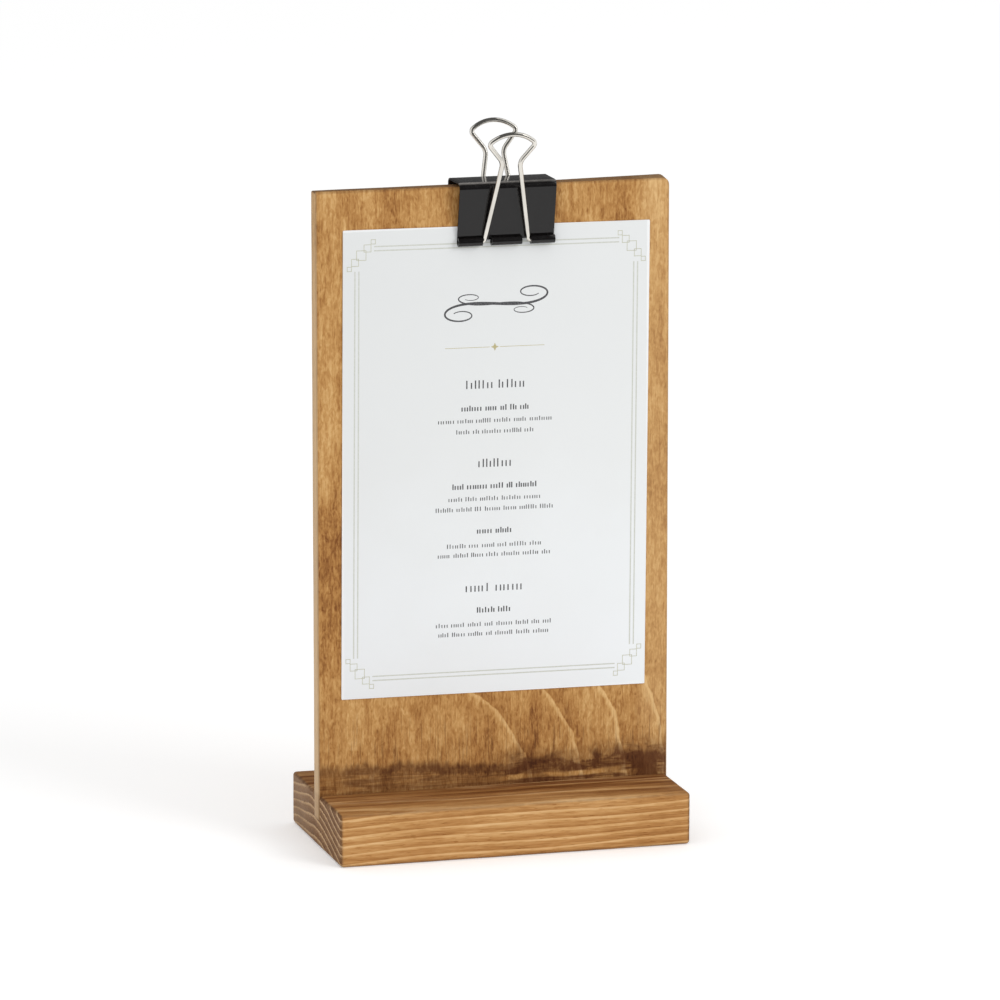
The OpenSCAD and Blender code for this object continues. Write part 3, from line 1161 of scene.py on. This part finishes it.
@dataclass
class BinderClip:
    """Folded spring-steel body with a rolled lip on each jaw, and two wire handles."""

    width: float = 32.0
    shift: float = 3.6
    middle_y: float = -1.65
    spine_depth: float = 14.6
    spine_top: float = 215.2
    sheet: float = 0.6
    fold: float = 1.2
    # Angle on the fold's outer curve where the painted highlight lies, in degrees.
    highlight_at: float = 72.0
    bore: float = 0.83
    lip_y: float = 4.68
    lip_z: float = 195.93
    lip_wrap: float = 305.0
    notch_width: float = 3.0
    notch_up: float = 0.2
    notch_x: float = 6.508
    wire: float = 1.5
    length: float = 37.98
    loop_width: float = 16.0
    tip_at: float = 33.7
    neck_width: float = 6.0
    neck_at: float = 26.4
    leg_width: float = 14.6
    foot: float = 5.5
    tip_bend: float = 1.4
    neck_bend: float = 4.0
    knee_bend: float = 1.2
    arch_run: float = 0.6
    sets: tuple[float, float] = (-0.8, 0.6)
    leans: tuple[float, float] = (16.9, 12.6)
    sheet_round: float = 0.12
    round_from: float = 50.0
    wire_round: float = 0.18
    cut_past: float = 1.0
    cut_into_plate: float = 0.03
    mesh_pitch: float = 2.0
    bend_pitch: float = 5.0
    bend_steps: int = 6

    def body(self) -> None:
        """Models and dresses the folded body."""
        fold_mid, lip_mid = self.fold + self.sheet / 2, self.bore + self.sheet / 2
        fold_y = self.spine_depth / 2 - self.fold - self.sheet
        fold_z = self.spine_top - self.fold - self.sheet
        to_lip = (fold_y - self.lip_y, fold_z - self.lip_z)
        reach = math.hypot(*to_lip)
        lean = math.atan2(*to_lip) + math.asin((fold_mid + lip_mid) / reach)
        run = math.sqrt(reach ** 2 - (fold_mid + lip_mid) ** 2)
        down = Vector((0, math.sin(lean), -math.cos(lean)))

        bench = Bench.plane(
            "clip_body_steel", (0, -fold_y / 2, self.spine_top - self.sheet / 2), (self.width, fold_y)
        )
        with bench.editing():
            bench.pick(Element.EDGE, lambda mid, way: mid.y < -fold_y + NEAR)
            bench.spin((0, -fold_y, fold_z), (1, 0, 0), 90 + math.degrees(lean), steps=14)
            bench.extrude(down * run)
            bench.spin((0, -self.lip_y, self.lip_z), (-1, 0, 0), self.lip_wrap, steps=30)
            bench.cut(steps_between(-self.width / 2, self.width / 2, self.mesh_pitch), 0)
            bench.weld()
        bench.modify("MIRROR", use_axis=(False, True, False), merge_threshold=TOUCH * MM)
        bench.modify("SOLIDIFY", thickness=self.sheet * MM, offset=0.0, use_even_offset=True)
        with bench.editing():
            bench.weld()
        bench.modify(
            "BEVEL",
            width=self.sheet_round * MM,
            segments=2,
            limit_method="ANGLE",
            angle_limit=math.radians(self.round_from),
        )
        bench.carve(self.notch_cutter(math.degrees(lean)))
        bench.move((self.shift, self.middle_y, 0))
        # Where the painted highlight lies on the folds: its offset from the middle and its height.
        outer, steep = self.fold + self.sheet, math.radians(self.highlight_at)
        painted_highlight = (fold_y + outer * math.cos(steep), fold_z + outer * math.sin(steep))
        finish = BlackEnamel("black_enamel", middle_y=self.middle_y, fold=painted_highlight)
        settle(bench.dress(finish.material()), Body.CLIP, Slot.STEEL, "clip_body")

    def notch_cutter(self, lean: float) -> Bench:
        """Makes one shape that cuts all four leg notches.

        Args:
            lean: The plates' lean in degrees.

        Returns:
            The bench with the cutter on it.
        """
        reach, half = self.bore + self.sheet + self.cut_past, self.notch_width / 2
        into_plate = self.bore + self.cut_into_plate
        cutters = []
        for side in (-1, 1):
            for x in (-self.notch_x, self.notch_x):
                low, high = (x - half, -reach, -reach), (x + half, reach, self.notch_up)
                bench = Bench.cube("notch_cutter", low, high)
                with bench.editing():
                    bench.cut([-side * into_plate], 1)
                    bench.pick(
                        Element.FACE, lambda mid, way: way.z > ALONG and mid.y * side > -into_plate
                    )
                    bench.extrude((0, 0, reach))
                bench.move((0, side * self.lip_y, self.lip_z), lean=-side * lean)
                cutters.append(bench)
        Bench.clear()
        for bench in cutters:
            bench.obj.select_set(True)
        bpy.context.view_layer.objects.active = cutters[0].obj
        bpy.ops.object.join()
        return cutters[0]

    def handle_path(self, set_over: float) -> list[Point]:
        """Lays out a handle's wire in its own plane.

        Args:
            set_over: How far the arch is set to the right of the pivot's middle.

        Returns:
            Corners of the path as x, height and bend radius, from the left foot to the right one.
        """
        half_wire = self.wire / 2
        top = self.length - half_wire
        tip_mid = Vector((self.loop_width / 2 - half_wire - self.tip_bend, self.tip_at))
        neck_mid = Vector((self.neck_width / 2 + self.neck_bend, self.neck_at))
        knee = Vector((self.leg_width / 2, 0))
        rise = top - tip_mid.y
        chord = tip_mid.x ** 2 + rise ** 2 - self.arch_run ** 2 - self.tip_bend ** 2
        arch = chord / (2 * (rise - self.tip_bend))
        arch_slope = math.atan2(tip_mid.x, arch - rise)
        arch_slope -= math.atan2(self.arch_run, arch - self.tip_bend)
        to_neck = neck_mid - tip_mid
        flare = math.asin((self.tip_bend + self.neck_bend) / to_neck.length)
        flare -= math.atan2(to_neck.x, -to_neck.y)
        from_knee = neck_mid - knee
        leg = math.asin(self.neck_bend / from_knee.length) - math.atan2(from_knee.x, from_knee.y)

        def corner(mid: Vector, bend: float, first: float, second: float) -> Vector:
            """Corner of two lines that touch a circle at two angles above the right."""
            a = Vector((math.cos(first), math.sin(first)))
            b = Vector((math.cos(second), math.sin(second)))
            return mid + bend * (a + b) / (1 + a.dot(b))

        tip = corner(tip_mid, self.tip_bend, math.pi / 2 - arch_slope, -flare)
        neck = corner(neck_mid, self.neck_bend, math.pi - flare, math.pi + leg)
        apex = Vector((0, top + arch * (1 / math.cos(arch_slope) - 1)))
        end = Vector((knee.x + self.foot, 0))
        right = [(tip, self.tip_bend), (neck, self.neck_bend), (knee, self.knee_bend), (end, 0.0)]
        left = [(Vector((-spot.x, spot.y)), bend) for spot, bend in reversed(right)]
        return [
            (spot.x + set_over * spot.y / self.length, spot.y, bend)
            for spot, bend in (*left, (apex, arch), *right)
        ]

    def handle(self, body: Body, set_over: float, lean: float, finish: Material) -> None:
        """Models one wire handle, leans it and dresses it.

        Args:
            body: The body that it rides on, which also names the solid that it replaces.
            set_over: How far the arch is set to the right of the pivot's middle.
            lean: Turn about x in degrees, positive towards the front.
            finish: The wire's material.
        """
        path = self.handle_path(set_over)
        spots = [Vector((x, 0, height)) for x, height, _ in path]
        bench = Bench.circle(body.value + "_wire", spots[0], self.wire / 2, sides=24)
        at = spots[0]
        with bench.editing():
            bench.pick_all()
            for before, spot, after, (_, _, bend) in zip(spots, spots[1:], spots[2:], path[1:]):
                first, second = (spot - before).normalized(), (after - spot).normalized()
                turn = first.angle(second)
                start = spot - first * bend * math.tan(turn / 2)
                bench.extrude(start - at)
                middle = spot + (second - first).normalized() * bend / math.cos(turn / 2)
                steps = max(self.bend_steps, round(math.degrees(turn) / self.bend_pitch))
                bench.spin(middle, first.cross(second).normalized(), math.degrees(turn), steps)
                at = spot + second * bend * math.tan(turn / 2)
            bench.extrude(spots[-1] - at)
            ends = (spots[0].x, spots[-1].x)
            for end in ends:
                bench.pick(Element.EDGE, lambda mid, way: abs(mid.x - end) < NEAR)
                bpy.ops.mesh.edge_face_add()
            bench.weld()
            for end in ends:
                bench.pick(Element.EDGE, lambda mid, way: abs(mid.x - end) < NEAR)
                bench.bevel(self.wire_round, segments=3)
        side = 1 if body is Body.FRONT_HANDLE else -1
        bench.move((self.shift, self.middle_y - side * self.lip_y, self.lip_z), lean=side * lean)
        settle(bench.dress(finish), body, Slot.WIRE, body.value)

    def handles(self) -> None:
        """Models and dresses both handles."""
        nickel = NickelPlate("nickel_plate").material()
        bodies = (Body.FRONT_HANDLE, Body.REAR_HANDLE)
        for body, set_over, lean in zip(bodies, self.sets, self.leans):
            self.handle(body, set_over, lean, nickel)


class PrintSize(Enum):
    """Sizes of print: the height of its marks, the width of their strokes and their pitch."""

    HEAD = (2.7, 0.42, 1.35)
    NAME = (1.8, 0.42, 0.85)
    TEXT = (1.4, 0.3, 0.78)


@dataclass(frozen=True)
class PrintRow:
    """A row of upright marks that stands in for a line of print."""

    size: PrintSize
    height: float
    width: float


@dataclass
class MenuCard:
    """Printed card that the clip holds against the board."""

    width: float = 101.6
    height: float = 152.4
    thick: float = 0.35
    corner_round: float = 0.3
    edge_round: float = 0.05
    middle: Point = (0.5, -4.675, 124.5)
    turn: float = 0.45
    ink_proud: float = 0.012
    ink_sunk: float = 0.05
    border_lines: tuple[tuple[float, float], ...] = ((3.75, 5.43), (5.05, 6.78))
    border_rise: float = 0.17
    border_width: float = 0.4
    border_open: tuple[float, float] = (10.2, 13.3)
    chain: tuple[tuple[float, float], ...] = (
        (-4.6, 1.6), (-2.4, 2.5), (0.0, 3.3), (2.4, 2.5), (4.6, 1.6)
    )
    chain_in: tuple[float, float] = (6.0, 8.2)
    chain_way: tuple[float, float] = (0.85, 0.935)
    chain_line: float = 0.2
    scrolls: tuple[Point, ...] = ((34.0, 10.6, 0.46), (-25.0, 6.4, 0.3))
    scroll_at: tuple[float, float] = (-0.2, 50.9)
    scroll_turns: float = 1.2
    scroll_slope: float = -10.0
    scroll_taper: float = 0.7
    scroll_steps: int = 60
    scroll_flat: float = 0.05
    rule: tuple[float, float] = (33.0, 0.16)
    rule_at: tuple[float, float] = (-0.55, 36.9)
    rule_gap: float = 1.6
    star_radius: float = 1.35
    star_waist: float = 0.42
    rows: tuple[PrintRow, ...] = (
        PrintRow(PrintSize.HEAD, 24.85, 19.25),
        PrintRow(PrintSize.NAME, 17.15, 22.3),
        PrintRow(PrintSize.TEXT, 13.1, 37.7),
        PrintRow(PrintSize.TEXT, 9.55, 25.6),
        PrintRow(PrintSize.HEAD, -0.8, 10.8),
        PrintRow(PrintSize.NAME, -8.3, 28.0),
        PrintRow(PrintSize.TEXT, -12.4, 30.5),
        PrintRow(PrintSize.TEXT, -15.75, 39.0),
        PrintRow(PrintSize.NAME, -22.95, 11.4),
        PrintRow(PrintSize.TEXT, -27.7, 31.3),
        PrintRow(PrintSize.TEXT, -30.75, 37.4),
        PrintRow(PrintSize.HEAD, -41.55, 18.7),
        PrintRow(PrintSize.NAME, -48.95, 11.1),
        PrintRow(PrintSize.TEXT, -53.6, 38.4),
        PrintRow(PrintSize.TEXT, -56.7, 36.7),
    )
    print_shift: float = -0.35
    print_seed: int = 11
    first_word: tuple[int, int] = (4, 8)
    next_word: tuple[int, int] = (3, 8)
    word_room: int = 4
    mark_heights: tuple[float, ...] = (0.72, 0.72, 1.0)
    mark_spread: tuple[float, float] = (0.8, 1.2)

    def card(self) -> None:
        """Models and dresses the card before its print."""
        half = (self.width / 2, self.thick / 2, self.height / 2)
        bench = Bench.cube("menu_card_stock", tuple(-c for c in half), half)
        with bench.editing():
            bench.pick(Element.EDGE, lambda mid, way: abs(way.y) > ALONG)
            bench.bevel(self.corner_round, segments=3)
            bench.pick(Element.EDGE, lambda mid, way: abs(way.y) < ACROSS)
            bench.bevel(self.edge_round, segments=2)
        self.lay(bench)
        finish = CardStock("card_stock", half=half, middle=self.middle).material()
        settle(bench.dress(finish), Body.CARD, Slot.CARD, "menu_card")

    def lay(self, bench: Bench) -> None:
        """Moves a piece from the card's own plane to where the card hangs."""
        bench.move(self.middle, turn=self.turn)

    def ink(self, bench: Bench, finish: Material) -> None:
        """Gives flat print its thickness, lays it on the card and dresses it.

        Args:
            bench: The bench with upright flat shapes in the card's own plane.
            finish: The ink's material.
        """
        with bench.editing():
            bench.weld()
            bench.pick_all()
            bench.extrude((0, self.ink_proud + self.ink_sunk, 0))
            bench.weld()
        bench.move((0, -self.thick / 2 - self.ink_proud, 0))
        self.lay(bench)
        settle(bench.dress(finish), Body.CARD, Slot.CARD)

    def border(self, finish: Material) -> None:
        """Prints two fine lines along all four sides, open at the corners.

        Args:
            finish: The ink's material.
        """
        for i, (side, end) in enumerate(self.border_lines):
            wide, tall = self.width - 2 * side, self.height - 2 * end
            bench = Bench.plane(
                f"card_border_{i + 1}", (0, 0, self.border_rise), (wide, tall), upright=True
            )
            keep_x = self.width / 2 - self.border_open[0]
            keep_z = self.height / 2 - self.border_open[1]
            with bench.editing():
                bench.pick_all()
                bpy.ops.mesh.inset(thickness=self.border_width * MM)
                bench.drop(lambda mid, way: mid.length < self.border_width)
                bench.cut((-keep_x, keep_x), 0)
                bench.cut((-keep_z, keep_z), 2)
                bench.drop(lambda mid, way: abs(mid.x) > keep_x and abs(mid.z) > keep_z)
            self.ink(bench, finish)

    def corners(self, finish: Material) -> None:
        """Prints a short chain of small squares across each corner.

        Args:
            finish: The ink's material.
        """
        bench = Bench.empty("card_corners")
        with bench.editing():
            for sx in (-1, 1):
                for sz in (-1, 1):
                    for along, size in self.chain:
                        x = sx * (self.width / 2 - self.chain_in[0] - along * self.chain_way[0])
                        z = sz * (self.height / 2 - self.chain_in[1] + along * self.chain_way[1])
                        self.upright_square(x, z, size)
                        bpy.ops.mesh.inset(thickness=self.chain_line * MM)
                        bpy.ops.mesh.delete(type="FACE")
        self.ink(bench, finish)

    @staticmethod
    def upright_square(x: float, z: float, size: float) -> None:
        """Adds a square in the card's own plane to the mesh that is open, and selects it."""
        place, turn = (x * MM, 0, z * MM), (math.pi / 2, 0, 0)
        bpy.ops.mesh.primitive_plane_add(size=size * MM, location=place, rotation=turn)

    def marks(self, finish: Material) -> None:
        """Prints rows of upright marks in word-like groups, with no letters.

        Args:
            finish: The ink's material.
        """
        draw = random.Random(self.print_seed)
        bench = Bench.empty("card_marks")
        with bench.editing():
            for row in self.rows:
                tall, stroke, pitch = row.size.value
                spots, place, left = [], 0.0, draw.randint(*self.first_word)
                while place < row.width:
                    if left <= 0 and row.width - place > self.word_room * pitch:
                        left = draw.randint(*self.next_word)
                        place += pitch
                    spots.append((place, tall * draw.choice(self.mark_heights)))
                    place += pitch * draw.uniform(*self.mark_spread)
                    left -= 1
                fit = (row.width - stroke) / spots[-1][0]
                for place, high in spots:
                    across = place * fit - (row.width - stroke) / 2 + self.print_shift
                    self.upright_square(across, row.height + (high - tall) / 2, 1)
                    bpy.ops.transform.resize(value=(stroke, 1, high))
        self.ink(bench, finish)

    def scroll(self, finish: Material) -> None:
        """Prints two crossed S-shaped scrolls where a title would stand.

        Args:
            finish: The ink's material.
        """
        half_turn = 2 * math.pi * self.scroll_turns
        step = 1 / self.scroll_steps
        for i, (wide, tall, line) in enumerate(self.scrolls):
            spots, x, z = [], 0.0, 0.0
            for j in range(self.scroll_steps):
                run = (j + 0.5) * step
                angle = math.radians(self.scroll_slope) + half_turn * run ** 2
                x, z = x + math.cos(angle) * step, z + math.sin(angle) * step
                spots.append((x, z, 1 - self.scroll_taper * run))
            path = [(-x, -z, w) for x, z, w in reversed(spots)] + [(0.0, 0.0, 1.0)] + spots
            stretch = wide / (2 * max(x for x, _, _ in path))
            rise = tall / (2 * max(z for _, z, _ in path))
            Bench.clear()
            bpy.ops.curve.primitive_bezier_curve_add()
            curve = bpy.context.object
            curve.data.dimensions = "3D"
            curve.data.bevel_depth = line * MM
            curve.data.bevel_resolution = 2
            curve.data.use_fill_caps = True
            spline = curve.data.splines[0]
            spline.bezier_points.add(len(path) - 2)
            for point, (x, z, share) in zip(spline.bezier_points, path):
                point.co = (x * stretch * MM, 0, z * rise * MM)
                point.radius = share
                point.handle_left_type = point.handle_right_type = "AUTO"
            spline.resolution_u = 2
            bpy.ops.object.convert(target="MESH")
            bench = Bench(f"card_scroll_{i + 1}")
            with bench.editing():
                bench.weld()
                bpy.ops.transform.resize(value=(1, self.scroll_flat, 1))
            bench.move((self.scroll_at[0], -self.thick / 2, self.scroll_at[1]))
            self.lay(bench)
            settle(bench.dress(finish), Body.CARD, Slot.CARD)

    def divider(self, finish: Material) -> None:
        """Prints a fine rule with a small four-pointed star at its middle.

        Args:
            finish: The ink's material.
        """
        bench = Bench.plane("card_divider", (0, 0, 0), self.rule, upright=True)
        with bench.editing():
            bench.cut((-self.rule_gap, self.rule_gap), 0)
            bench.drop(lambda mid, way: abs(mid.x) < self.rule_gap)
            bpy.ops.mesh.primitive_circle_add(
                vertices=8, radius=self.star_radius * MM, fill_type="NGON", rotation=(math.pi / 2, 0, 0)
            )
            inner = self.star_radius / 2
            bench.pick(Element.VERT, lambda mid, way: min(abs(mid.x), abs(mid.z)) > inner)
            waist = (self.star_waist, 1, self.star_waist)
            bpy.ops.transform.resize(value=waist, center_override=(0, 0, 0))
        bench.move((self.rule_at[0], 0, self.rule_at[1]))
        self.ink(bench, finish)

    def printing(self) -> None:
        """Prints the whole front of the card."""
        pale = Ink("pale_ink", (198, 200, 191), (207, 208, 201)).material()
        dark = Ink("dark_ink", (70, 70, 73), (98, 98, 100)).material()
        gold = Ink("gold_ink", (182, 172, 128), (196, 188, 150)).material()
        warm = Ink("warm_ink", (186, 186, 166), (198, 198, 180)).material()
        self.border(pale)
        self.corners(warm)
        self.marks(dark)
        self.scroll(dark)
        self.divider(gold)


@dataclass(frozen=True)
class Lamp:
    """A soft square lamp, with its place and size in metres and its power in watts."""

    name: str
    place: Point
    size: float
    power: float


@dataclass
class Studio:
    """White floor, soft light and the camera."""

    target: Point = (2.06, -4.45, 111.22)
    distance: float = 2214.4
    azimuth: float = -15.689
    elevation: float = 11.366
    lens: float = 248.05
    sensor: float = 36.0
    far: float = 50.0
    ambient: float = 0.75
    lamps: tuple[Lamp, ...] = (
        Lamp("key", (1.9, -2.6, 1.8), 1.5, 36.0),
        Lamp("fill", (-1.3, -2.5, 0.7), 1.4, 8.0),
    )
    floor_size: float = 12.0
    floor_shade: float = 0.9
    floor_glow: float = 0.28
    flag_radius: float = 0.5
    flag_top: float = 1.6
    flag_glow: float = 0.09
    flag_shade: float = 0.02
    flag_gap: float = 0.72

    def camera(self) -> None:
        """Sets the camera to the picture's viewpoint."""
        turn, rise = math.radians(self.azimuth), math.radians(self.elevation)
        away = Vector((math.sin(turn), -math.cos(turn), 0))
        back = away * math.cos(rise) + Vector((0, 0, math.sin(rise)))
        data = bpy.data.cameras.new("camera")
        data.lens, data.sensor_width, data.clip_end = self.lens, self.sensor, self.far
        obj = bpy.data.objects.new("camera", data)
        bpy.context.scene.collection.objects.link(obj)
        obj.location = (Vector(self.target) + back * self.distance) * MM
        obj.rotation_euler = (-back).to_track_quat("-Z", "Y").to_euler()
        bpy.context.scene.camera = obj

    @staticmethod
    def seen(graph: Graph) -> Socket:
        """Tells whether a ray comes from the camera, a reflection or clear glass."""
        path = graph.add("LightPath").outputs
        bounced = graph.total(path["Is Glossy Ray"], path["Is Transmission Ray"])
        return graph.math("ADD", path["Is Camera Ray"], bounced, clamp=True)

    def world(self) -> None:
        """Sets an even white surround that is plain white where it is seen."""
        world = bpy.data.worlds.new("surround")
        bpy.context.scene.world = world
        world.use_nodes = True
        graph = Graph(world.node_tree)
        background = world.node_tree.nodes["Background"]
        background.inputs["Color"].default_value = (1, 1, 1, 1)
        graph.feed(background.inputs["Strength"], graph.scaled(self.seen(graph), self.ambient, 1.0))

    def floor(self) -> None:
        """Lays a white floor that keeps the object's shadow."""
        Bench.clear()
        bpy.ops.mesh.primitive_plane_add(size=self.floor_size)
        floor = bpy.context.object
        floor.name = "floor"
        material, graph, shader = Finish("white_floor").start()
        looks = {
            "Base Color": (*(3 * [self.floor_shade]), 1),
            "Roughness": 1.0,
            "Specular IOR Level": 0.0,
            "Emission Color": (1, 1, 1, 1),
            "Emission Strength": graph.scaled(self.seen(graph), 0.0, self.floor_glow),
        }
        graph.fill(shader, looks)
        floor.data.materials.append(material)

    def mirrored(self, name: str) -> None:
        """Makes the active object a dark cloth that only mirror-like surfaces show.

        Args:
            name: The cloth's name.
        """
        sheet = bpy.context.object
        sheet.name = name
        sheet.visible_camera = sheet.visible_diffuse = sheet.visible_shadow = False
        sheet.visible_transmission = sheet.visible_volume_scatter = False
        material, graph, shader = Finish(name).start()
        looks = {
            "Base Color": (*(3 * [self.flag_shade]), 1),
            "Roughness": 1.0,
            "Emission Color": (1, 1, 1, 1),
            "Emission Strength": self.flag_glow,
        }
        graph.fill(shader, looks)
        sheet.data.materials.append(material)

    def flags(self) -> None:
        """Stands dark flags before and behind the set and lays one over it."""
        Bench.clear()
        bpy.ops.mesh.primitive_cylinder_add(
            vertices=48,
            radius=self.flag_radius,
            depth=self.flag_top,
            end_fill_type="NOTHING",
            location=(0, 0, self.flag_top / 2),
        )
        with Bench("dark_flags").editing() as ring:
            ring.drop(lambda mid, way: abs(mid.x) > self.flag_gap * self.flag_radius / MM)
        self.mirrored("dark_flags")
        Bench.clear()
        bpy.ops.mesh.primitive_plane_add(size=2 * self.flag_radius, location=(0, 0, self.flag_top))
        self.mirrored("dark_lid")

    def hang(self, lamp: Lamp) -> None:
        """Hangs a lamp that faces the object.

        Args:
            lamp: The lamp.
        """
        data = bpy.data.lights.new(lamp.name, "AREA")
        data.size, data.energy = lamp.size, lamp.power
        obj = bpy.data.objects.new(lamp.name, data)
        bpy.context.scene.collection.objects.link(obj)
        obj.location = lamp.place
        aim = Vector(self.target) * MM - Vector(lamp.place)
        obj.rotation_euler = aim.to_track_quat("-Z", "Y").to_euler()

    def build(self) -> None:
        """Sets up the whole studio."""
        bpy.context.scene.view_settings.view_transform = "Standard"
        self.camera()
        self.world()
        self.floor()
        self.flags()
        for lamp in self.lamps:
            self.hang(lamp)


def main() -> None:
    """Builds the studio and the stand."""
    logging.basicConfig(level=logging.INFO, format="%(name)s: %(message)s")
    Studio().build()
    stand = WoodStand()
    stand.block()
    stand.board()
    clip = BinderClip()
    clip.body()
    clip.handles()
    card = MenuCard()
    card.card()
    card.printing()


if __name__ == "__main__":
    main()
